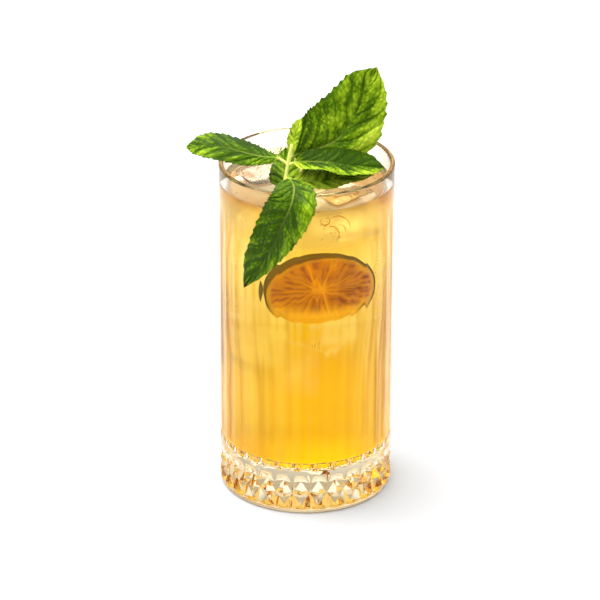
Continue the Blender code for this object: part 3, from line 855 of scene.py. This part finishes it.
def cloud_colours(points):
    """Deep amber low down at the front, paler to the sides and the top, with the upright
    streaks of painted light and shade that the flutes' refraction draws on it."""
    x, y, z = points.T
    angle = np.degrees(np.arctan2(x, -y))
    share = (z - CLOUD_BOTTOM) / (CLOUD_TOP - CLOUD_BOTTOM)
    marks, *tones = zip(*CLOUD_TONES)
    front, sides = (np.stack([np.interp(share, marks, c) for c in zip(*tone)], -1) for tone in tones)
    beside = smooth_step(18, 62, np.abs((angle - CLOUD_FRONT + 180) % 360 - 180))
    colour = blend(front, sides, beside)
    reach = OUTER_RADIUS - RIM_WALL
    seen = np.where(y < 0, np.degrees(np.arcsin(np.clip(x / reach, -1, 1))), angle)
    # streak holds painted light and shade from the flutes: above 0 paler, above 1 a painted highlight,
    # below 0 painted brown shade
    streak = np.zeros(len(points))
    for centre, width, gain in FLUTE_LIGHT_STREAKS:
        for turn in (0, 180):
            off = np.abs((seen - centre - turn + 180) % 360 - 180)
            streak += gain * np.exp(-((off / width) ** 2))
    streak *= (0.45 + 0.55 * beside) * smooth_step(0.02, 0.06, share) * smooth_step(1.05, 0.55, share)
    at_pale = blend(np.tile(STREAK_PALE, (len(points), 1)), STREAK_PALE_BESIDE, beside)
    colour = blend(colour, at_pale, streak)
    colour = blend(colour, STREAK_PAINTED_HIGHLIGHT, np.clip(streak - 1, 0, 1) * smooth_step(0.6, 0.45, share))
    # Painted highlights along the sunk ice's edges, and paler patches where it shows
    colour = blend(colour, SUNK_PALE_AND_HIGHLIGHT, sunk_ice_patches_and_highlights(points))
    colour = colour * (1 - np.clip(-streak, 0, 1)[:, None] * STREAK_PAINTED_SHADE)
    behind = smooth_step(85, 130, np.abs(angle)) * smooth_step(0.4, 0.7, share)
    return blend(colour, CLOUD_BEHIND, 0.85 * behind * (share <= 1))


def sunk_ice_patches_and_highlights(points):
    """How pale the cloud is painted where the sunk ice shows: painted highlights along its edges, and
    paler patches on its sides.
    """
    x, y, z = points.T
    pale = np.zeros(len(points))
    broken = np.array([noise.noise(Vector((a * 0.16, 3.0, b * 0.22))) for a, b in zip(x, z)])
    for (x0, z0), (x1, z1), width, gain in SUNK_EDGE_HIGHLIGHTS:
        along_x, along_z = x1 - x0, z1 - z0
        share = ((x - x0) * along_x + (z - z0) * along_z) / (along_x**2 + along_z**2)
        share = np.clip(share, 0, 1)
        far = np.hypot(x - x0 - share * along_x, z - z0 - share * along_z)
        line = np.clip(0.85 + 0.9 * broken, 0, 1) * np.exp(-((far / width) ** 2))
        pale = np.maximum(pale, gain * line)
    for cx, cz, wide, high, gain in SUNK_SIDES:
        across, up = np.abs(x - cx) / wide, np.abs(z - cz) / high
        patch = smooth_step(1.4, 0.6, across) * smooth_step(1.4, 0.6, up)
        pale = np.maximum(pale, gain * patch * (1 + broken))
    return np.where(y < 0, pale, 0)


# What is sunk in the drink


def build_sunk_ice():
    """Blocks of ice that show out of the cloud below the slice."""
    material = see_through("Sunk ice", WHITE, CLOUD_SHADE, BLOCK_BEND, 0.25)
    for name, place in SUNK_ICE.items():
        add_piece(name, build_ice(name, place), [material])


def ball(centre, radius, rows=7, columns=12):
    """A little round body, slightly flattened, as points and faces."""
    degrees = np.arange(columns) * 360 / columns
    tilts = math.pi * np.arange(1, rows) / rows
    rings = [round_point(math.sin(a), degrees, -math.cos(a)) for a in tilts]
    points = np.vstack([*rings, (0, 0, -1), (0, 0, 1)])
    return points * radius * (1, 1, 0.9) + centre, closed_rings(columns, rows - 1)


def build_bubbles():
    """Bubbles that cling to the inside of the wall and float at the surface round the ice."""
    rng = np.random.default_rng(12)
    spots = []
    for direction, height, spread, rise, number in BUBBLES:
        for _ in range(number):
            a = math.radians(direction + rng.normal() * spread)
            z = height + rng.normal() * rise
            radius = 0.16 + 0.34 * rng.random() ** 2
            spots.append((a, cavity_radius(z) - radius - 0.08, z, radius))
    for _ in range(FLOATING_BUBBLES):
        a, radius = rng.random() * 2 * math.pi, 0.2 + 0.4 * rng.random() ** 2
        reach = cavity_radius(DRINK_LEVEL) - 0.6 - radius - rng.random() ** 2 * 9
        spots.append((a, reach, DRINK_LEVEL - 0.15 - radius, radius))
    points, faces, count = [], [], 0
    for a, reach, z, radius in spots:
        body, sides = ball((reach * math.sin(a), -reach * math.cos(a), z), radius)
        points.append(body)
        faces += [tuple(v + count for v in side) for side in sides]
        count += len(body)
    mesh = mesh_from("bubbles", np.concatenate(points) * MM, faces)
    add_piece("bubbles", mesh, [see_through("Bubble", WHITE, BUBBLE_SHADE, BUBBLE_BEND)])


def build_ice_edges():
    """The amber lines that the edges of the ice draw behind the wall."""
    material = see_through("Ice edge", ICE_EDGE_COLOUR, CLOUD_SHADE, SOAKED_BEND, 0.4)
    t = np.linspace(0, 1, 60)
    for number, marks in enumerate(ICE_EDGES):
        line = []
        for direction, z in spline_at(marks, t):
            a = math.radians(direction)
            reach = cavity_radius(z) - 0.55
            line.append((reach * math.sin(a), -reach * math.cos(a), z))
        body, faces = tube(np.array(line), 0.08 + 0.17 * np.sin(np.pi * t) ** 0.5, sides=8)
        name = f"ice_edge_{number}"
        add_piece(name, mesh_from(name, body * MM, faces), [material])


def slice_point(share, depth, a):
    """A point of the slice's skin, share of the way from its middle to its rind, and its colour."""
    wobble = 1 + 0.012 * noise.noise(Vector((math.cos(a), math.sin(a), 0)) * 2.3)
    r = SLICE_RADIUS * share * wobble
    spread = (a + 0.05 * math.sin(3 * a)) / (2 * math.pi) * SEGMENTS
    phase = spread % 1
    width = 0.11 / max(share, 0.12)
    on_wall = float(smooth_step(1 - width, 1 - width * 0.3, abs(phase - 0.5) * 2))
    inside = 1 - float(smooth_step(0.84, 0.9, share))
    core = 1 - float(smooth_step(0.07, 0.16, share))
    vesicle = noise.noise(Vector((phase * 5, r * 0.3, int(spread) * 3.7)))
    streak = noise.noise(Vector((a * 9, r * 0.12, 5.0)))
    relief = -0.35 * inside * (1 - on_wall) * (1 - core) + 0.12 * vesicle * inside
    layers = (
        (LIME_DEEP, np.clip(0.3 + 1.5 * vesicle + 1.5 * streak, 0, 1)),
        (LIME_MEMBRANE, max(0.8 * on_wall, core)),
        (LIME_PITH, 1 - inside),
        (LIME_RIND, float(smooth_step(0.955, 0.985, share))),
        (LIME_SUNK, smooth_step(0.4, 0.95, -share * math.sin(a))),
    )
    colour = LIME_FLESH
    for layer, cover in layers:
        colour = colour + (layer - colour) * cover
    height = depth * (1 - SLICE_WEDGE * share * math.cos(a))
    height += relief if depth > 0 else -relief
    return (r * math.cos(a), r * math.sin(a), height), colour


def build_slice():
    """A disc with its rind, pith and segments: rings from the middle of the front face, round
    the rind, to the middle of the back face."""
    half = SLICE_THICKNESS / 2
    rings = [(share, half) for share in SLICE_RINGS]
    rings += [(1.0, half * share) for share in (0.8, 0.4, 0.0, -0.4, -0.8)]
    rings += [(share, -half) for share in SLICE_RINGS[::-1]]
    around = np.radians(np.arange(SLICE_COLUMNS) * 360 / SLICE_COLUMNS)
    points, colours = zip(*[slice_point(*ring, a) for ring in rings for a in around])
    points = np.array([*points, (0, 0, half), (0, 0, -half)])
    faces = [(face[0], *face[:0:-1]) for face in closed_rings(SLICE_COLUMNS, len(rings))]
    turn = Matrix.Rotation(math.radians(SLICE_YAW), 3, "Z")
    turn = turn @ Matrix.Rotation(math.radians(90 + SLICE_LEAN), 3, "X")
    mesh = mesh_from("lime_slice", (points @ np.array(turn).T + SLICE_CENTRE) * MM, faces)
    paint(mesh, [*colours, LIME_MEMBRANE, LIME_MEMBRANE])
    material = painted_material("Lime", 1.0, 0.1)
    shader = material.node_tree.nodes["Principled BSDF"]
    shader.inputs["Transmission Weight"].default_value = 1.0
    shader.inputs["IOR"].default_value = SOAKED_BEND
    add_piece("lime_slice", mesh, [material])


# The mint


def spline_at(points, t):
    """The points at t, an array from 0 to 1, of a smooth curve through the points."""
    points = np.asarray(points, float)
    t = np.clip(np.asarray(t, float), 0, 1)
    padded = np.vstack([2 * points[0] - points[1], points, 2 * points[-1] - points[-2]])
    place = t * (len(points) - 1)
    i = np.minimum(place.astype(int), len(points) - 2)
    f = (place - i)[:, None]
    a, b, c, d = (padded[i + k] for k in range(4))
    square, cube = 2 * a - 5 * b + 4 * c - d, 3 * b - a - 3 * c + d
    return 0.5 * (2 * b + (c - a) * f + square * f**2 + cube * f**3)


def leaf_frames(leaf, t):
    """The spine's points, and the leaf's side and up directions there."""
    here = spline_at(leaf["spine"], t)
    ahead = unit(spline_at(leaf["spine"], t + SPINE_SPAN) - spline_at(leaf["spine"], t - SPINE_SPAN))
    base, tip = (np.asarray(v, float) for v in leaf["up"])
    up = base + (tip - base) * smooth_step(0.15, 0.6, t)[:, None]
    up = unit(up - ahead * np.sum(up * ahead, -1, keepdims=True))
    return here, np.cross(up, ahead), up


def leaf_rows(leaf, rng):
    """Where the rows lie along the leaf, and how far each tooth stands out there."""
    teeth = leaf["teeth"]
    pitch = 1 / (teeth + 0.6)
    start = 0.35 * pitch
    end = start + teeth * pitch
    rows = [(0.0004 + start * (i / 8) ** 2, -1.0) for i in range(8)]
    size = 0.7 + 0.6 * rng.random(teeth)
    for k in range(teeth):
        marks = sorted([*np.linspace(0, 1, ROWS_PER_TOOTH, endpoint=False), TOOTH_PEAK])
        for p in marks:
            out = (p / TOOTH_PEAK) ** 1.3 if p <= TOOTH_PEAK else (1 - p) / (1 - TOOTH_PEAK)
            rows.append((start + (k + p) * pitch, -1 + 2 * out * size[k]))
    rows += [(end + (1 - end) * (1 - (1 - i / 7) ** 2) * 0.9995, -1.0) for i in range(8)]
    t, out = np.array(rows).T
    return t, out


def leaf_halves(leaf, t, across):
    """How far the leaf reaches from its spine at each t, on the side of each column."""
    left, right = np.maximum(0, spline_at(np.transpose(leaf["edges"]), t)).T
    return np.where(across[None, :] < 0, left[:, None], right[:, None])


def leaf_surface(leaf, t, across, teeth_out):
    """The leaf's middle surface as a grid of points, with its half widths."""
    here, side, up = leaf_frames(leaf, t)
    half = leaf_halves(leaf, t, across)
    depth = TOOTH_DEPTH * (np.max(leaf["edges"]) / 17) ** 0.5 * smooth_step(0, 2.5, half)
    reach = half * np.abs(across) + depth * teeth_out[:, None] * np.abs(across) ** 9
    lift = math.radians(leaf["fold"])
    out = np.where(across > 0, -1.0, 1.0)
    ripple = leaf["wave"] * np.sin(2 * math.pi * WAVES * t[:, None] + 2 * across[None, :])
    rise = reach * math.sin(lift) + half * across**2 * 2 * (ripple - leaf["bend"])
    sideways = (reach * math.cos(lift) * out)[:, :, None] * side[:, None, :]
    return here[:, None, :] + sideways + rise[:, :, None] * up[:, None, :], half


def leaf_relief(leaf, t, across, half, seed):
    """Height above the middle surface, nearness to a side vein and to the midrib, how far the
    skin puffs up between the veins, and its pebbles and lumps."""
    spine = spline_at(leaf["spine"], np.linspace(0, 1, 40))
    length = np.linalg.norm(np.diff(spine, axis=0), axis=1).sum()
    share = np.abs(across)[None, :] * np.ones_like(half)
    x = across[None, :] * half
    y = t[:, None] * length * np.ones_like(half)
    lumps, drift, cells, grain, strokes = (np.zeros_like(half) for _ in range(5))
    for i, j in np.ndindex(half.shape):
        spot = Vector((x[i, j], y[i, j] - abs(x[i, j]) * 0.5, seed * 7.3))
        near = noise.voronoi(Vector((spot.x * 0.62 + spot.y * 0.2, spot.y * 0.62, spot.z)))[0]
        cells[i, j] = near[1] - near[0]
        lumps[i, j] = noise.noise(Vector((spot.x * 0.2, spot.y * 0.2, spot.z)))
        drift[i, j] = noise.noise(Vector((spot.x * 0.11, spot.y * 0.11, spot.z + 40)))
        grain[i, j] = noise.noise(Vector((spot.x * 0.9, spot.y * 0.55, spot.z + 80)))
    veins = leaf["veins"]
    advance = 0.85 * np.max(leaf["edges"]) / length
    phase = veins * (t[:, None] + advance * (1 - share) ** 1.25)
    phase = phase + np.where(across > 0, 0.5, 0.0)[None, :] + 0.5 * drift
    off = np.abs(phase - np.round(phase))
    for i, j in np.ndindex(half.shape):
        strokes[i, j] = noise.noise(Vector((phase[i, j] * 2.6, x[i, j] * 0.17, seed * 2.9)))
    vein_mm = off / veins * length * 0.75
    vein = np.exp(-((vein_mm / 0.28) ** 2)) * (1 - 0.6 * smooth_step(0.75, 1, share))
    rib = np.exp(-((share * half / 0.42) ** 2))
    puff = (0.5 - 0.5 * np.cos(2 * math.pi * phase)) ** 0.6
    puff = puff * smooth_step(0.0, 0.22, share) * (1 - 0.5 * smooth_step(0.7, 1, share))
    pebble = smooth_step(0.0, 0.5, cells) + 0.7 * grain
    scale = min(1.0, np.max(leaf["edges"]) / 9)
    fade = smooth_step(0, 0.6, half)
    height = scale * fade * (0.32 * puff + 0.2 * pebble * (0.5 + puff) + 0.25 * lumps * share)
    height -= scale * (0.12 * vein + 0.25 * rib)
    return height, vein, rib, puff, pebble, lumps + 1.6 * strokes


def build_leaf(name, leaf, seed):
    rng = np.random.default_rng(seed)
    t, teeth_out = leaf_rows(leaf, rng)
    u = np.linspace(-1, 1, LEAF_COLUMNS + 1)
    across = np.sign(u) * (1 - (1 - np.abs(u)) ** 1.25)
    middle, half = leaf_surface(leaf, t, across, teeth_out)
    normal = unit(np.cross(np.gradient(middle, axis=1), np.gradient(middle, axis=0)))
    height, *marks = leaf_relief(leaf, t, across, half, seed)
    vein, rib = marks[:2]
    share = np.abs(across)[None, :]
    thick = LAMINA / 2 * (1 - 0.55 * share**4)
    top = middle + normal * (height + thick)[:, :, None]
    under = height - thick - 0.2 * vein - 0.45 * rib * smooth_step(1, 0.4, t)[:, None]
    bottom = middle + normal * under[:, :, None]
    points = np.concatenate([top.reshape(-1, 3), bottom.reshape(-1, 3)])
    beyond = np.maximum(-LEAF_FRONT - points[:, 1], 0)
    points[:, 1] += beyond - LEAF_GIVE * (1 - np.exp(-beyond / LEAF_GIVE))
    mesh = mesh_from(name, points * MM, sheet_faces(*height.shape))
    paint(mesh, leaf_colours(leaf, t, across, teeth_out, *marks))
    return mesh


def sheet_faces(rows, columns):
    """The faces of a thin sheet: its upper grid, its lower grid and the rim that joins them."""
    faces = []
    count = rows * columns
    for i, j in np.ndindex(rows - 1, columns - 1):
        a = i * columns + j
        b, c, d = a + 1, a + columns + 1, a + columns
        faces += [(a, b, c, d), (a + count, d + count, c + count, b + count)]
    rim = [*range(columns)]
    rim += [i * columns + columns - 1 for i in range(1, rows)]
    rim += [(rows - 1) * columns + j for j in range(columns - 2, -1, -1)]
    rim += [i * columns for i in range(rows - 2, 0, -1)]
    return faces + [(b, a, a + count, b + count) for a, b in zip(rim, rim[1:] + rim[:1])]


def leaf_colours(leaf, t, across, teeth_out, vein, rib, puff, pebble, lumps):
    """Colours for the upper and then the under side."""
    share = np.abs(across)[None, :] * np.ones_like(puff)
    inner = np.where(across < 0, *leaf["inner"])[None, :]
    outer = np.where(across < 0, *leaf["outer"])[None, :]
    light = inner + (outer - inner) * smooth_step(0.35, 0.9, share)
    base, tip = leaf["ends"]
    light += base * smooth_step(0.28, 0.05, t)[:, None] + tip * smooth_step(0.6, 0.95, t)[:, None]
    for place, column, size, gain in leaf["spots"]:
        far = ((t[:, None] - place) / size) ** 2 + ((across[None, :] - column) / (size * 2.2)) ** 2
        light += gain * np.exp(-far)
    # Painted shade in the grooves of the veins and painted light on the puffs and pebbles raised
    # between them; lumps and strokes vary the green at random
    light += 0.26 * (puff - 0.5) + 0.3 * (pebble - 0.55) + 0.24 * lumps - 0.28 * vein
    light -= 0.35 * smooth_step(0.9, 1, share) * smooth_step(0.3, 1, teeth_out)[:, None]
    marks, greens = zip(*LEAF_GREENS)
    colour = np.stack([np.interp(light, marks, channel) for channel in zip(*greens)], -1)
    colour = blend(colour, LEAF_RIB, rib * 0.5 * smooth_step(0.75, 0.2, t)[:, None])
    colour = blend(colour, LEAF_RIB, smooth_step(0.06, 0.0, t)[:, None] * np.ones_like(puff))
    under = blend(colour, LEAF_UNDER, np.full_like(puff, 0.5))
    under = blend(under, LEAF_RIB, np.maximum(vein * 0.4, rib * 0.8))
    if leaf is LEAVES["front"]:
        burnt = smooth_step(0.965, 0.985, t)[:, None] * np.ones_like(puff)
        colour = blend(colour, LEAF_BURN, burnt)
        under = blend(under, LEAF_BURN, burnt)
    return np.concatenate([colour.reshape(-1, 3), under.reshape(-1, 3)])


def tube(line, radii, sides=20):
    """A round stem along a line of points, with closed ends, as points and faces."""
    ahead = unit(np.gradient(line, axis=0))
    side = unit(np.cross(ahead, (0.3, 1, 0.2)))
    over = np.cross(ahead, side)
    around = np.radians(np.arange(sides) * 360 / sides)[:, None]
    rings = [p + r * (np.cos(around) * s + np.sin(around) * o)
             for p, s, o, r in zip(line, side, over, radii)]
    start = line[0] - ahead[0] * radii[0] * 0.5
    end = line[-1] + ahead[-1] * radii[-1] * 0.5
    return np.vstack([*rings, start, end]), closed_rings(sides, len(line))


def build_mint():
    leaf_look = painted_material("Mint leaf", 0.4, 0.18, LEAF_SHEEN)
    for seed, (name, leaf) in enumerate(LEAVES.items()):
        mesh = build_leaf(f"leaf_{name}", leaf, seed + 1)
        add_piece(f"leaf_{name}", mesh, [leaf_look], "mint_sprig")
    stem_look = painted_material("Mint stem", 0.4, 0.2, LEAF_SHEEN)
    lines = [("mint_stem", STEM, STEM_RADIUS, STALK_RADIUS)]
    for name, leaf in LEAVES.items():
        lines.append((f"stalk_{name}", [leaf["stalk"], *leaf["spine"][:2]], STALK_RADIUS, STALK_TIP))
    t = np.linspace(0, 1, 30)
    for name, points, start, end in lines:
        body, faces = tube(spline_at(points, t), start + (end - start) * t)
        mesh = mesh_from(name, body * MM, faces)
        along = np.append(np.repeat(t, len(body) // len(t)), (0, 1))
        into_leaf = smooth_step(0.35, 0.7, along) if name != "mint_stem" else 0 * along
        paint(mesh, blend(np.broadcast_to(STEM_GREEN, (len(body), 3)), STALK_END, into_leaf))
        add_piece(name, mesh, [stem_look], "mint_sprig")


def main():
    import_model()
    build_camera()
    build_floor()
    build_world()
    build_lamp()
    build_glass()
    build_drink()
    build_cloud()
    build_ice_cubes()
    build_sunk_ice()
    build_bubbles()
    build_ice_edges()
    build_slice()
    build_mint()
    scene = bpy.context.scene
    scene.view_settings.view_transform = "Standard"
    scene.cycles.max_bounces = BOUNCES
    scene.cycles.glossy_bounces = BOUNCES
    scene.cycles.transmission_bounces = BOUNCES
    scene.cycles.caustics_refractive = False
    scene.cycles.caustics_reflective = False


main()
